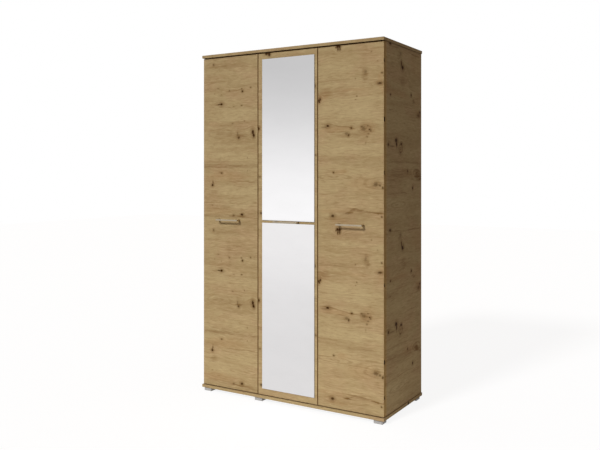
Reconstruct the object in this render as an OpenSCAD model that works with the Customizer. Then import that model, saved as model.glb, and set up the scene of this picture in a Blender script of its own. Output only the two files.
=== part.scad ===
// Three-door wardrobe in knotty oak decor with two mirrors on the middle door.
// Left bay with shelves, wide right bay with a hat shelf and a clothes rail.
// Units are millimetres. Z is up, the doors face -Y, +X is the viewer's right.
// The origin is the bottom centre of the whole object with its doors closed.

/* [Carcass] */
// Width of the top and bottom boards
overall_w = 1200; // [900:10:1500]
// Depth of the top and bottom boards
board_d = 530; // [450:5:620]
// Height from the floor to the top face
overall_h = 2020; // [1800:10:2200]
// Thickness of every board and door
board_t = 16; // [15:1:22]
// How far the top and bottom boards stand out past each side panel
side_overhang = 5; // [0:1:20]
// How far the top and bottom boards stand out past the door faces
front_overhang = 10; // [0:1:20]
// Thickness of the hardboard back
back_t = 3; // [2.5:0.5:5]

/* [Feet] */
// Height of the plastic feet
foot_h = 20; // [10:1:60]
// Side of the square foot blocks
foot_side = 50; // [40:1:70]

/* [Doors] */
// Gap between two neighbouring doors
door_gap = 3; // [2:0.5:5]
// Gap between the doors and the bottom board
door_gap_bottom = 3; // [2:0.5:6]
// Gap between the doors and the top board
door_gap_top = 4; // [2:0.5:6]
// Gap between a closed door and the carcass
door_back_gap = 2; // [1.5:0.5:4]
// Hinges on each door
hinges_per_door = 4; // [2:1:5]
// Distance from the door's end to its outermost hinge
hinge_inset = 100; // [80:5:150]

/* [Mirrors] */
// Width of both mirrors
mirror_w = 345; // [250:1:380]
// Thickness of the glass
mirror_t = 4; // [3:1:6]
// Bare door above the upper and below the lower mirror
mirror_margin = 36; // [10:1:80]
// Bare strip between the mirrors, where the handle stands
mirror_strip = 15; // [14.5:0.5:40]
// Sideways offset of the mirrors from the door's middle
mirror_shift = 6; // [-10:0.5:10]

/* [Handles] */
// Length of a handle
handle_l = 156; // [96:4:320]
// Height of the flat bar of a handle
handle_h = 8; // [7:0.5:30]
// How far a handle stands out from the door face
handle_reach = 32; // [20:1:45]
// Thickness of the flat bar
handle_t = 4; // [3:0.5:12]
// Width of the two legs of a handle
handle_leg_w = 12; // [8:0.5:20]
// Height of the handles' middle above the floor
handle_z = 1034; // [800:1:1300]
// How far the outer handles sit from their doors' middles, away from the middle door
handle_shift = 6.5; // [-20:0.5:20]

/* [Interior] */
// Shelves in the left bay
shelf_count = 4; // [2:1:6]
// Height of the hat shelf's underside above the floor
hat_shelf_z = 1690; // [1500:10:1850]
// Drop of the clothes rail's middle below the hat shelf
rail_drop = 50; // [35:5:90]

/* [Hidden] */

$fn = 48;
eps = 0.01;                    // overshoot of a cutter past the face it opens
loose = 0.1;                   // radial play of a screw in its pilot hole

// Colours
oak = [0.65, 0.55, 0.41];
hardboard = [0.90, 0.89, 0.87];
glass = [0.80, 0.82, 0.84];
satin_metal = [0.68, 0.67, 0.65];
zinc = [0.72, 0.73, 0.74];
nickel = [0.78, 0.77, 0.74];
foot_grey = [0.66, 0.66, 0.65];
beech = [0.80, 0.66, 0.46];

// Depth stations, front to rear
handle_past_board = handle_reach - front_overhang;
total_d = board_d + handle_past_board;
board_front = -total_d / 2 + handle_past_board;
rear = total_d / 2;
door_front = board_front + front_overhang;
door_back = door_front + board_t;
carcass_front = door_back + door_back_gap;
carcass_d = rear - carcass_front;
back_inset = 12;               // hardboard's rear face to the rear edge
groove_depth = 8;
groove_play = 0.2;
back_y = rear - back_inset - back_t;

// Height stations
board_bottom = foot_h;
inner_bottom = board_bottom + board_t;
inner_top = overall_h - board_t;
inner_h = inner_top - inner_bottom;
door_bottom = inner_bottom + door_gap_bottom;
door_h = inner_top - door_gap_top - door_bottom;

// Width stations
carcass_w = overall_w - 2 * side_overhang;
side_x = carcass_w / 2;                    // outer face of a side panel
side_in_x = side_x - board_t;
door_pitch = carcass_w / 3;
divider_x = -door_pitch / 2;               // middle plane of the divider
divider_left = divider_x - board_t / 2;
divider_right = divider_x + board_t / 2;
door_w = door_pitch - door_gap;
outer_door_w = door_w + door_gap / 2;      // an outer door ends flush with the carcass
left_door_x = -side_x;
middle_door_x = divider_x + door_gap / 2;
right_door_x = side_x - outer_door_w;

// Hinge, in its own plan: x runs along the door from its hinged edge, y runs
// from the door's back face into the carcass
pivot = [5, -10.5];            // pin axis, within the door's thickness
pin_r = 1.5;
pin_play = 0.05;
eye_r = 2.7;
neck_t = 2.4;
neck_w = 12;
hinge_pin_l = neck_w + 4;
cup_r = 17.5;
cup_edge = 3;                  // wood left between the cup and the door's edge
cup_depth = 13.6;
cup_x = cup_edge + cup_r;
cup_pocket_w = neck_w + 0.8;
cup_pocket_depth = 13.4;
cup_pocket_l = 26;
cheek_t = 2.6;                 // cup wall each side of the neck, which holds the pin
cheek_edge = 1.6;
flange_t = 1;
flange_overlap = 1.5;          // flange past the cup's rim
ear_r = 6;
flange_screw_z = 22.5;
flange_screw_x = cup_x + 9.5;
flange_from = cup_edge + 0.5;
knee = [20.5, 3.5];
plate_t = 7.8;
plate_from_front = 37;         // screw line of the plate behind the front edge
plate_l = 44;
plate_w = 16;
wing_t = 2;
wing_r = 6.5;
wing_screw_z = 16;
arm_end = 68;
arm_screw_y = 58;
arm_screw_r = 2;
channel_t = 1.2;               // side walls of the arm's channel
channel_h = 5;
full_overlay = board_t;        // door edge to the panel's inner face
half_overlay = divider_right - middle_door_x;
door_screw_r = 1.75;
door_screw_l = 12;
plate_screw_r = 2.5;

hinge_z = [for (i = [0:hinges_per_door - 1])
    door_bottom + hinge_inset + i * (door_h - 2 * hinge_inset) / (hinges_per_door - 1)];

// Shelves
shelf_front_inset = 6;
shelf_play = 0.5;
shelf_space = (inner_h - shelf_count * board_t) / (shelf_count + 1);
left_shelf_z = [for (i = [1:shelf_count])
    inner_bottom + i * shelf_space + (i - 1) * board_t];
shelf_front = carcass_front + shelf_front_inset;
shelf_d = back_y - 1 - shelf_front;
peg_r = 2.5;
peg_in = 9;
peg_out = 9;
peg_from_edge = 50;
peg_step = 32;
shelf_peg_y = [shelf_front + peg_from_edge, shelf_front + shelf_d - peg_from_edge];

// Clothes rail
rail_h = 30;
rail_t = 15;
rail_wall = 1.2;
rail_y = (carcass_front + back_y) / 2;
rail_z = hat_shelf_z - rail_drop;
rail_cup_wall = 2;
rail_cup_l = 14;
rail_screw_z = 21;

// Panel connectors
cam_r = 7.5;
cam_depth = 12.5;
cam_from_end = 34;
bolt_r = 3.5;
bolt_thread_r = 2.5;
bolt_in_board = 11;
dowel_r = 4;
dowel_half = 11;
cam_y = [carcass_front + 60, back_y - 60];
dowel_y = [carcass_front + 92, back_y - 92];

// Feet
foot_end_gap = 12;             // foot to the bottom board's end
foot_edge_gap = 8;             // foot to the bottom board's long edges
foot_middle_shift = 4;         // middle feet to the divider's middle plane
foot_roof = 8;                 // plastic between the screw's head and the board
foot_seat_r = 5;
foot_head_t = 2;
foot_screw_r = 2;
foot_screw_l = 12;

// ---------------------------------------------------------------- helpers

function unit(v) = v / norm(v);
function left_of(v) = [-v[1], v[0]];
function joint_offset(before, here, after, h) =
    let (n1 = left_of(unit(here - before)),
         n2 = left_of(unit(after - here)),
         m = unit(n1 + n2))
    here + m * h / (m * n1);
function edge_point(path, i, h) =
    let (last = len(path) - 1)
    i == 0 ? path[0] + left_of(unit(path[1] - path[0])) * h
    : i == last ? path[last] + left_of(unit(path[last] - path[last - 1])) * h
    : joint_offset(path[i - 1], path[i], path[i + 1], h);

// Outline of a bent flat strip of thickness t along a path of points
module strip_outline(path, t) {
    last = len(path) - 1;
    polygon(concat(
        [for (i = [0:last]) edge_point(path, i, t / 2)],
        [for (i = [last:-1:0]) edge_point(path, i, -t / 2)]));
}

module box(from, to) {
    translate(from)
        cube(to - from);
}

module rod_x(r, l) {
    rotate([0, 90, 0])
        cylinder(r = r, h = l);
}

module rod_y(r, l) {
    rotate([-90, 0, 0])
        cylinder(r = r, h = l);
}

// Slot with round ends, upright, cut along X
module oval(h, t) {
    r = t / 2;
    for (s = [-1, 1])
        translate([0, s * (h / 2 - r)])
            circle(r = r);
    square([t, h - t], center = true);
}

// Puts a hinge part at every hinge of a door: side 1 for a left-hand edge, -1 for a right
module at_hinges(edge_x, side) {
    for (z = hinge_z)
        translate([edge_x, door_back, z])
            mirror([side < 0 ? 1 : 0, 0, 0])
                children();
}

// ---------------------------------------------------------------- boards

// Holes shared by the top and bottom boards, at one vertical panel
module connector_holes(panel_x, face_z, up) {
    for (y = cam_y)
        translate([panel_x, y, face_z - (up > 0 ? eps : bolt_in_board)])
            cylinder(r = bolt_thread_r + loose, h = bolt_in_board + eps);
    for (y = dowel_y)
        translate([panel_x, y, face_z - (up > 0 ? eps : dowel_half)])
            cylinder(r = dowel_r + loose, h = dowel_half + eps);
}

panel_mid_x = [-side_x + board_t / 2, divider_x, side_x - board_t / 2];

module board(z, face_z, up) {
    difference() {
        box([-overall_w / 2, board_front, z], [overall_w / 2, rear, z + board_t]);
        for (x = panel_mid_x)
            connector_holes(x, face_z, up);
        groove_bottom = up > 0 ? face_z - eps : face_z - groove_depth;
        translate([-side_in_x - groove_depth, back_y - groove_play, groove_bottom])
            cube([2 * (side_in_x + groove_depth), back_t + 2 * groove_play, groove_depth + eps]);
    }
}

module top_panel() {
    color(oak)
        board(inner_top, inner_top, 1);
}

module bottom_panel() {
    color(oak)
        difference() {
            board(board_bottom, inner_bottom, -1);
            for (p = foot_places)
                translate([p[0], p[1], board_bottom - eps])
                    cylinder(r = foot_screw_r + loose, h = foot_screw_l);
        }
}

// Borings in the two ends of an upright panel, with the cam pockets on one face
module upright_borings(mid_x, cam_face_x, cam_dir) {
    for (end = [[inner_bottom, 1], [inner_top, -1]]) {
        z = end[0];
        s = end[1];
        for (y = cam_y) {
            translate([mid_x, y, s > 0 ? z - eps : z - cam_from_end])
                cylinder(r = bolt_r + loose, h = cam_from_end + eps);
            translate([cam_face_x - (cam_dir < 0 ? cam_depth : eps), y, z + s * cam_from_end])
                rod_x(cam_r, cam_depth + eps);
        }
        for (y = dowel_y)
            translate([mid_x, y, s > 0 ? z - eps : z - dowel_half])
                cylinder(r = dowel_r + loose, h = dowel_half + eps);
    }
}

// Peg holes, with one more above and below each for moving the shelf
module peg_holes(face_x, dir, heights, steps = [-1, 0, 1]) {
    for (z = heights, y = shelf_peg_y, k = steps)
        translate([face_x - (dir < 0 ? peg_in : eps), y, z - peg_r + k * peg_step])
            rod_x(peg_r + loose, peg_in + eps);
}

// Pilot holes of the hinge plates, drilled into a panel face
module plate_holes(face_x, dir) {
    depth = 11;
    for (z = hinge_z, s = [-1, 1])
        translate([face_x - (dir < 0 ? depth : eps), carcass_front + plate_from_front, z + s * wing_screw_z])
            rod_x(plate_screw_r + loose, depth + eps);
}

module rail_cup_holes(face_x, dir) {
    depth = 11;
    for (s = [-1, 1])
        translate([face_x - (dir < 0 ? depth : eps), rail_y, rail_z + s * rail_screw_z])
            rod_x(door_screw_r + loose, depth + eps);
}

// The left side panel; dir is the way its inner face looks
module side_panel_blank(outer_x, dir) {
    inner_x = outer_x + dir * board_t;
    difference() {
        box([min(outer_x, inner_x), carcass_front, inner_bottom],
            [max(outer_x, inner_x), rear, inner_top]);
        translate([dir > 0 ? inner_x - groove_depth : inner_x - eps, back_y - groove_play, inner_bottom - eps])
            cube([groove_depth + eps, back_t + 2 * groove_play, inner_h + 2 * eps]);
        upright_borings((outer_x + inner_x) / 2, inner_x, -dir);
        plate_holes(inner_x, -dir);
    }
}

module left_side_panel() {
    color(oak)
        difference() {
            side_panel_blank(-side_x, 1);
            peg_holes(-side_in_x, -1, left_shelf_z);
        }
}

module right_side_panel() {
    color(oak)
        difference() {
            side_panel_blank(side_x, -1);
            peg_holes(side_in_x, 1, [hat_shelf_z], [0]);
            rail_cup_holes(side_in_x, 1);
        }
}

module divider_panel() {
    color(oak)
        difference() {
            box([divider_left, carcass_front, inner_bottom], [divider_right, back_y, inner_top]);
            upright_borings(divider_x, divider_left, 1);
            plate_holes(divider_right, -1);
            peg_holes(divider_left, 1, left_shelf_z);
            peg_holes(divider_right, -1, [hat_shelf_z], [0]);
            rail_cup_holes(divider_right, -1);
            for (z = nail_z)
                translate([divider_x, back_y - nail_l, z])
                    rod_y(nail_r + loose, nail_l + eps);
        }
}

// ---------------------------------------------------------------- back

back_seam_x = door_pitch / 2;              // seam of the two right-hand sheets
back_edge = side_in_x + groove_depth - 0.5;
back_low = inner_bottom - groove_depth + 0.5;
back_high = inner_top + groove_depth - 0.5;
strip_web = 1.2;
strip_cover = 9;
strip_skin = 0.8;
seam_play = 0.3;
nail_r = 0.7;
nail_l = 18;
nail_head_r = 2.5;
nail_head_t = 0.8;
nail_count = 12;
nail_offset = 3;
nail_z = [for (i = [0:nail_count - 1])
    inner_bottom + 60 + i * (inner_h - 120) / (nail_count - 1)];

module back_sheet(x0, x1) {
    color(hardboard)
        difference() {
            box([x0, back_y, back_low], [x1, back_y + back_t, back_high]);
            for (z = nail_z)
                translate([divider_x, back_y - eps, z])
                    rod_y(nail_r + loose, back_t + 2 * eps);
        }
}

module back_panel_left() {
    back_sheet(-back_edge, divider_x + nail_offset);
}

module back_panel_middle() {
    color(hardboard)
        box([divider_x + nail_offset + seam_play, back_y, back_low],
            [back_seam_x - strip_web / 2 - seam_play, back_y + back_t, back_high]);
}

module back_panel_right() {
    color(hardboard)
        box([back_seam_x + strip_web / 2 + seam_play, back_y, back_low],
            [back_edge, back_y + back_t, back_high]);
}

// Plastic H section that holds the edges of the two right-hand sheets
module back_joining_strip() {
    low = inner_bottom + 0.5;
    high = inner_top - 0.5;
    color(hardboard) {
        box([back_seam_x - strip_web / 2, back_y, low],
            [back_seam_x + strip_web / 2, back_y + back_t, high]);
        for (y = [back_y - strip_skin, back_y + back_t])
            box([back_seam_x - strip_cover, y, low],
                [back_seam_x + strip_cover, y + strip_skin, high]);
    }
}

module back_nails() {
    color(zinc)
        for (z = nail_z)
            translate([divider_x, back_y + back_t, z]) {
                translate([0, -nail_l + 1, 0])
                    rod_y(nail_r, nail_l - 1 + eps);
                rod_y(nail_head_r, nail_head_t);
            }
}

// ---------------------------------------------------------------- shelves

module shelf(x0, x1, z) {
    color(oak)
        box([x0 + shelf_play, shelf_front, z], [x1 - shelf_play, shelf_front + shelf_d, z + board_t]);
}

module left_shelf(i) {
    shelf(-side_in_x, divider_left, left_shelf_z[i]);
}

module hat_shelf() {
    shelf(divider_right, side_in_x, hat_shelf_z);
}

// Stepped steel peg: a shank in the panel and a flange with a flat rest under the shelf
module shelf_peg(dir) {
    collar_r = 4;
    collar_t = 1.5;
    mirror([dir < 0 ? 1 : 0, 0, 0])
        difference() {
            union() {
                translate([-peg_in + 1, 0, 0])
                    rod_x(peg_r, peg_in - 1 + peg_out);
                rod_x(collar_r, collar_t);
            }
            translate([-eps, -collar_r - 1, peg_r])
                cube([peg_out + 1, 2 * collar_r + 2, collar_r]);
        }
}

module shelf_pins() {
    color(nickel) {
        for (z = left_shelf_z, y = shelf_peg_y) {
            translate([-side_in_x, y, z - peg_r])
                shelf_peg(1);
            translate([divider_left, y, z - peg_r])
                shelf_peg(-1);
        }
        for (y = shelf_peg_y) {
            translate([divider_right, y, hat_shelf_z - peg_r])
                shelf_peg(1);
            translate([side_in_x, y, hat_shelf_z - peg_r])
                shelf_peg(-1);
        }
    }
}

// ---------------------------------------------------------------- clothes rail

// The oval stands upright: its long side along Z
module rail_section(h, t, l) {
    rotate([90, 0, 90])
        linear_extrude(l)
            oval(h, t);
}

module clothes_rail() {
    x0 = divider_right + rail_cup_wall;
    l = side_in_x - rail_cup_wall - x0;
    color(nickel)
        translate([x0, rail_y, rail_z])
            difference() {
                rail_section(rail_h, rail_t, l);
                translate([-eps, 0, 0])
                    rail_section(rail_h - 2 * rail_wall, rail_t - 2 * rail_wall, l + 2 * eps);
            }
}

// Closed oval cup with two screw ears
module rail_end_cup() {
    ear_r = 6;
    play = 0.3;
    difference() {
        union() {
            rail_section(rail_h + 2 * rail_cup_wall + 2 * play, rail_t + 2 * rail_cup_wall + 2 * play, rail_cup_l);
            rail_section(2 * rail_screw_z + 2 * ear_r, 2 * ear_r, rail_cup_wall);
        }
        translate([rail_cup_wall, 0, 0])
            rail_section(rail_h + 2 * play, rail_t + 2 * play, rail_cup_l);
        for (s = [-1, 1])
            translate([-eps, 0, s * rail_screw_z])
                rod_x(door_screw_r + loose, rail_cup_wall + 2 * eps);
    }
}

module rail_end_cups() {
    color(nickel) {
        translate([divider_right, rail_y, rail_z])
            rail_end_cup();
        translate([side_in_x, rail_y, rail_z])
            mirror([1, 0, 0])
                rail_end_cup();
    }
}

// Pan-head screw along -X with the underside of its head at x = 0
module pan_screw(r, l, head_r) {
    head_t = 0.6 * head_r;
    difference() {
        union() {
            translate([-l, 0, 0])
                rod_x(r, l + eps);
            rod_x(head_r, head_t);
        }
        for (a = [0, 90])
            rotate([a, 0, 0])
                translate([head_t / 2, -0.45, -head_r * 0.6])
                    cube([head_t, 0.9, head_r * 1.2]);
    }
}

module rail_cup_screws() {
    color(zinc)
        for (s = [-1, 1]) {
            translate([divider_right + rail_cup_wall, rail_y, rail_z + s * rail_screw_z])
                pan_screw(door_screw_r, door_screw_l, 3.4);
            translate([side_in_x - rail_cup_wall, rail_y, rail_z + s * rail_screw_z])
                mirror([1, 0, 0])
                    pan_screw(door_screw_r, door_screw_l, 3.4);
        }
}

// ---------------------------------------------------------------- connectors

// Cam drum with a cross slot, seen in the panel's inner face; its pocket takes the bolt
module cam_housing(s) {
    rim_play = 0.1;
    difference() {
        translate([-cam_depth, 0, 0])
            rod_x(cam_r - rim_play, cam_depth);
        for (a = [0, 90])
            rotate([a, 0, 0])
                translate([-3, -0.9, -4.5])
                    cube([3 + eps, 1.8, 9]);
        translate([-board_t / 2, 0, s > 0 ? -cam_r - 1 : -eps])
            cylinder(r = bolt_r + loose, h = cam_r + 1);
    }
}

// side x of the face, direction it looks, and the two ends
module cam_housings() {
    faces = [[-side_in_x, 1], [divider_left, -1], [side_in_x, -1]];
    color(zinc)
        for (f = faces, end = [[inner_bottom, 1], [inner_top, -1]], y = cam_y)
            translate([f[0], y, end[0] + end[1] * cam_from_end])
                mirror([f[1] < 0 ? 1 : 0, 0, 0])
                    cam_housing(end[1]);
}

module cam_bolt(s) {
    neck = 2;
    thread = bolt_in_board - 1;
    mirror([0, 0, s < 0 ? 1 : 0]) {
        translate([0, 0, -thread])
            cylinder(r = bolt_thread_r, h = thread + eps);
        cylinder(r = bolt_r, h = cam_from_end - cam_r - neck);
        translate([0, 0, cam_from_end - cam_r - neck - eps])
            cylinder(r = bolt_r - 1.3, h = 2 * neck + eps);
        translate([0, 0, cam_from_end - cam_r + neck])
            cylinder(r = bolt_r, h = 2);
    }
}

module cam_bolts() {
    color(zinc)
        for (x = panel_mid_x, end = [[inner_bottom, 1], [inner_top, -1]], y = cam_y)
            translate([x, y, end[0]])
                cam_bolt(end[1]);
}

module dowels() {
    chamfer = 1;
    l = dowel_half - 0.5;
    color(beech)
        for (x = panel_mid_x, z = [inner_bottom, inner_top], y = dowel_y)
            translate([x, y, z])
                rotate_extrude()
                    polygon([[0, -l], [dowel_r - chamfer, -l], [dowel_r, chamfer - l],
                             [dowel_r, l - chamfer], [dowel_r - chamfer, l], [0, l]]);
}

// ---------------------------------------------------------------- feet

foot_x = overall_w / 2 - foot_end_gap - foot_side / 2;
foot_middle_x = divider_x + foot_middle_shift;
foot_front_y = board_front + foot_edge_gap + foot_side / 2;
foot_rear_y = rear - foot_edge_gap - foot_side / 2;
foot_places = [
    [-foot_x, foot_front_y], [foot_middle_x, foot_front_y], [foot_x, foot_front_y],
    [-foot_x, foot_rear_y], [foot_middle_x, foot_rear_y], [foot_x, foot_rear_y],
];

// Moulded block with a sunk screw seat
module foot(i) {
    r = foot_side / 2;
    color(foot_grey)
        translate([foot_places[i][0], foot_places[i][1], 0])
            difference() {
                box([-r, -r, 0], [r, r, foot_h]);
                cylinder(r = foot_screw_r + loose, h = foot_h + eps);
                translate([0, 0, -eps])
                    cylinder(r = foot_seat_r, h = foot_h - foot_roof + eps);
            }
}

module foot_screws() {
    color(zinc)
        for (p = foot_places)
            translate([p[0], p[1], foot_h - foot_roof]) {
                cylinder(r = foot_screw_r, h = foot_roof + foot_screw_l - 2);
                translate([0, 0, -foot_head_t])
                    cylinder(r = 2 * foot_screw_r, h = foot_head_t);
            }
}

// ---------------------------------------------------------------- doors

// Borings for one hinge in the door's back face
module cup_boring() {
    notch_w = cup_pocket_w + 2 * cheek_t + 0.2;
    translate([cup_x, 0, 0])
        rotate([90, 0, 0])
            translate([0, 0, -eps])
                cylinder(r = cup_r, h = cup_depth + eps);
    // Notch through the edge for the cup's cheeks and the swinging neck
    translate([-eps, -cup_depth, -notch_w / 2])
        cube([cup_x, cup_depth + eps, notch_w]);
    for (s = [-1, 1])
        translate([flange_screw_x, -door_screw_l, s * flange_screw_z])
            rod_y(door_screw_r + loose, door_screw_l + eps);
}

module handle_borings(mid_x) {
    for (s = [-1, 1])
        translate([mid_x + s * handle_leg_x, door_front - eps, handle_z])
            rod_y(2 + loose, board_t + 2 * eps);
}

module door(x0, w, hinge_x, side, handle_x) {
    difference() {
        box([x0, door_front, door_bottom], [x0 + w, door_back, door_bottom + door_h]);
        at_hinges(hinge_x, side)
            cup_boring();
        handle_borings(handle_x);
    }
}

module left_door() {
    color(oak)
        door(left_door_x, outer_door_w, -side_x, 1, left_handle_x);
}

module middle_door() {
    color(oak)
        door(middle_door_x, door_w, middle_door_x, 1, middle_mid_x);
}

module right_door() {
    color(oak)
        door(right_door_x, outer_door_w, side_x, -1, right_handle_x);
}

mirror_mid_z = handle_z;
middle_mid_x = middle_door_x + door_w / 2;

module mirror_sheet(z0, z1) {
    x = middle_mid_x + mirror_shift;
    color(glass)
        box([x - mirror_w / 2, door_front - mirror_t, z0], [x + mirror_w / 2, door_front, z1]);
}

module upper_mirror() {
    mirror_sheet(mirror_mid_z + mirror_strip / 2, door_bottom + door_h - mirror_margin);
}

module lower_mirror() {
    mirror_sheet(door_bottom + mirror_margin, mirror_mid_z - mirror_strip / 2);
}

// ---------------------------------------------------------------- handles

handle_leg_x = handle_l / 2 - handle_leg_w / 2;

// Flat bar on two square legs, with the screw holes in the legs
module handle(mid_x) {
    half_h = handle_h / 2;
    screw_depth = 12;
    color(satin_metal)
        translate([mid_x, door_front, handle_z])
            difference() {
                union() {
                    box([-handle_l / 2, -handle_reach, -half_h],
                        [handle_l / 2, -handle_reach + handle_t, half_h]);
                    for (s = [-1, 1])
                        box([s * handle_leg_x - handle_leg_w / 2, -handle_reach, -half_h],
                            [s * handle_leg_x + handle_leg_w / 2, 0, half_h]);
                }
                for (s = [-1, 1])
                    translate([s * handle_leg_x, -screw_depth, 0])
                        rod_y(2 + loose, screw_depth + eps);
            }
}

module handle_screws(mid_x) {
    l = board_t + 10;
    color(zinc)
        for (s = [-1, 1])
            translate([mid_x + s * handle_leg_x, door_back, handle_z]) {
                translate([0, -l, 0])
                    rod_y(2, l + eps);
                rod_y(4, 1.6);
            }
}

left_handle_x = left_door_x + outer_door_w / 2 - handle_shift;
right_handle_x = right_door_x + outer_door_w / 2 + handle_shift;

// ---------------------------------------------------------------- hinges

// Outline of the flange that lies on the door's back: a trimmed disc with two screw ears
module flange_outline() {
    intersection() {
        translate([cup_x, 0])
            circle(r = cup_r + flange_overlap);
        translate([flange_from, -cup_r - flange_overlap])
            square([2 * cup_r, 2 * (cup_r + flange_overlap)]);
    }
    for (s = [-1, 1])
        translate([flange_screw_x, s * flange_screw_z])
            circle(r = ear_r);
    translate([flange_screw_x - ear_r, -flange_screw_z])
        square([2 * ear_r, 2 * flange_screw_z]);
}

// Cast cup: a flanged disc, slotted for the neck, with cheeks that hold the pin
module hinge_cup() {
    play = 0.1;
    cheek_w = cup_pocket_w + 2 * cheek_t;
    difference() {
        union() {
            translate([cup_x, 0, 0])
                rotate([90, 0, 0])
                    cylinder(r = cup_r - play, h = cup_depth - play);
            box([cheek_edge, play - cup_depth, -cheek_w / 2], [cup_x, 0, cheek_w / 2]);
            translate([0, flange_t, 0])
                rotate([90, 0, 0])
                    linear_extrude(flange_t)
                        flange_outline();
        }
        translate([-1, -cup_pocket_depth, -cup_pocket_w / 2])
            cube([cup_pocket_l + 1, cup_pocket_depth + flange_t + eps, cup_pocket_w]);
        translate([pivot[0], pivot[1], -hinge_pin_l / 2])
            cylinder(r = pin_r, h = hinge_pin_l);
        for (s = [-1, 1])
            translate([flange_screw_x, -eps, s * flange_screw_z])
                rod_y(door_screw_r + loose, flange_t + 2 * eps);
    }
}

module hinge_pin() {
    translate([pivot[0], pivot[1], -hinge_pin_l / 2])
        cylinder(r = pin_r, h = hinge_pin_l);
}

module cup_screw() {
    for (s = [-1, 1])
        translate([flange_screw_x, flange_t, s * flange_screw_z])
            rotate([0, 0, 90])
                pan_screw(door_screw_r, door_screw_l, 3.2);
}

// Steel arm: an eye on the pin, a neck out of the cup, a crank, and a channel over the plate
module hinge_arm(overlay) {
    seat_x = overlay + plate_t + neck_t / 2;
    crank_y = knee[1] + 6 + 1.5 * abs(seat_x - knee[0]);
    path = [pivot, knee, [seat_x, crank_y], [seat_x, arm_end]];
    wall_from = crank_y + 12;
    wall_in = plate_w / 2 + 0.3;
    difference() {
        union() {
            translate([0, 0, -neck_w / 2])
                linear_extrude(neck_w)
                    strip_outline(path, neck_t);
            translate([pivot[0], pivot[1], -neck_w / 2])
                cylinder(r = eye_r, h = neck_w);
            box([seat_x - neck_t / 2, wall_from, -wall_in - channel_t],
                [seat_x + neck_t / 2, arm_end, wall_in + channel_t]);
            for (s = [-1, 1])
                translate([0, 0, s * (wall_in + channel_t / 2) - channel_t / 2])
                    linear_extrude(channel_t)
                        polygon([[seat_x, wall_from], [seat_x - channel_h, wall_from + 5],
                                 [seat_x - channel_h, arm_end - 2], [seat_x, arm_end]]);
        }
        translate([pivot[0], pivot[1], -neck_w])
            cylinder(r = pin_r + pin_play, h = 2 * neck_w);
        // Adjusting slot for the clamping screw, open to the arm's rear end
        translate([seat_x - neck_t, arm_screw_y, 0])
            rod_x(arm_screw_r + loose, 2 * neck_t);
        translate([seat_x - neck_t, arm_screw_y, -arm_screw_r - loose])
            cube([2 * neck_t, arm_end, 2 * (arm_screw_r + loose)]);
    }
}

// Cross-shaped mounting plate on the panel's inner face, with round wing tips
module hinge_plate(overlay) {
    y_mid = door_back_gap + plate_from_front;
    y_front = y_mid - 15;
    difference() {
        union() {
            box([overlay, y_front, -plate_w / 2], [overlay + plate_t, y_front + plate_l, plate_w / 2]);
            translate([overlay, y_mid, 0])
                rotate([90, 0, 90])
                    linear_extrude(wing_t) {
                        square([2 * wing_r, 2 * wing_screw_z], center = true);
                        for (s = [-1, 1])
                            translate([0, s * wing_screw_z])
                                circle(r = wing_r);
                    }
        }
        for (s = [-1, 1])
            translate([overlay - eps, y_mid, s * wing_screw_z])
                rod_x(plate_screw_r + loose, wing_t + 2 * eps);
        translate([overlay + plate_t - 6, arm_screw_y, 0])
            rod_x(arm_screw_r + loose, 6 + eps);
    }
}

module plate_screw_pair(overlay) {
    y_mid = door_back_gap + plate_from_front;
    for (s = [-1, 1])
        translate([overlay + wing_t, y_mid, s * wing_screw_z])
            pan_screw(plate_screw_r, door_screw_l, 4);
}

module arm_screw(overlay) {
    translate([overlay + plate_t + neck_t, arm_screw_y, 0])
        pan_screw(arm_screw_r, neck_t + 5, 4);
}

// Every hinge's carcass-side part: the child gets the overlay of its door
module at_all_hinges() {
    at_hinges(left_door_x, 1) {
        $overlay = full_overlay;
        children();
    }
    at_hinges(middle_door_x, 1) {
        $overlay = half_overlay;
        children();
    }
    at_hinges(side_x, -1) {
        $overlay = full_overlay;
        children();
    }
}

module hinge_plates() {
    color(zinc)
        at_all_hinges()
            hinge_plate($overlay);
}

module hinge_plate_screws() {
    color(nickel)
        at_all_hinges()
            plate_screw_pair($overlay);
}

module hinge_arm_screws() {
    color(nickel)
        at_all_hinges()
            arm_screw($overlay);
}

// ---------------------------------------------------------------- assembly

top_panel();
bottom_panel();
left_side_panel();
right_side_panel();
divider_panel();
back_panel_left();
back_panel_middle();
back_panel_right();
back_joining_strip();
back_nails();
left_shelf(0);  // left_shelf_1
left_shelf(1);  // left_shelf_2
left_shelf(2);  // left_shelf_3
left_shelf(3);  // left_shelf_4
hat_shelf();
shelf_pins();
clothes_rail();
rail_end_cups();
rail_cup_screws();
cam_housings();
cam_bolts();
dowels();
foot(0);  // foot_front_left
foot(1);  // foot_front_middle
foot(2);  // foot_front_right
foot(3);  // foot_rear_left
foot(4);  // foot_rear_middle
foot(5);  // foot_rear_right
foot_screws();
left_door();
middle_door();
right_door();
upper_mirror();
lower_mirror();
handle(left_handle_x);  // left_handle
handle(middle_mid_x);  // middle_handle
handle(right_handle_x);  // right_handle
handle_screws(left_handle_x);  // left_handle_screws
handle_screws(middle_mid_x);  // middle_handle_screws
handle_screws(right_handle_x);  // right_handle_screws
color(zinc) at_hinges(left_door_x, 1) hinge_cup();  // left_hinge_cups
color(zinc) at_hinges(middle_door_x, 1) hinge_cup();  // middle_hinge_cups
color(zinc) at_hinges(side_x, -1) hinge_cup();  // right_hinge_cups
color(nickel) at_hinges(left_door_x, 1) hinge_pin();  // left_hinge_pins
color(nickel) at_hinges(middle_door_x, 1) hinge_pin();  // middle_hinge_pins
color(nickel) at_hinges(side_x, -1) hinge_pin();  // right_hinge_pins
color(nickel) at_hinges(left_door_x, 1) cup_screw();  // left_cup_screws
color(nickel) at_hinges(middle_door_x, 1) cup_screw();  // middle_cup_screws
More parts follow.
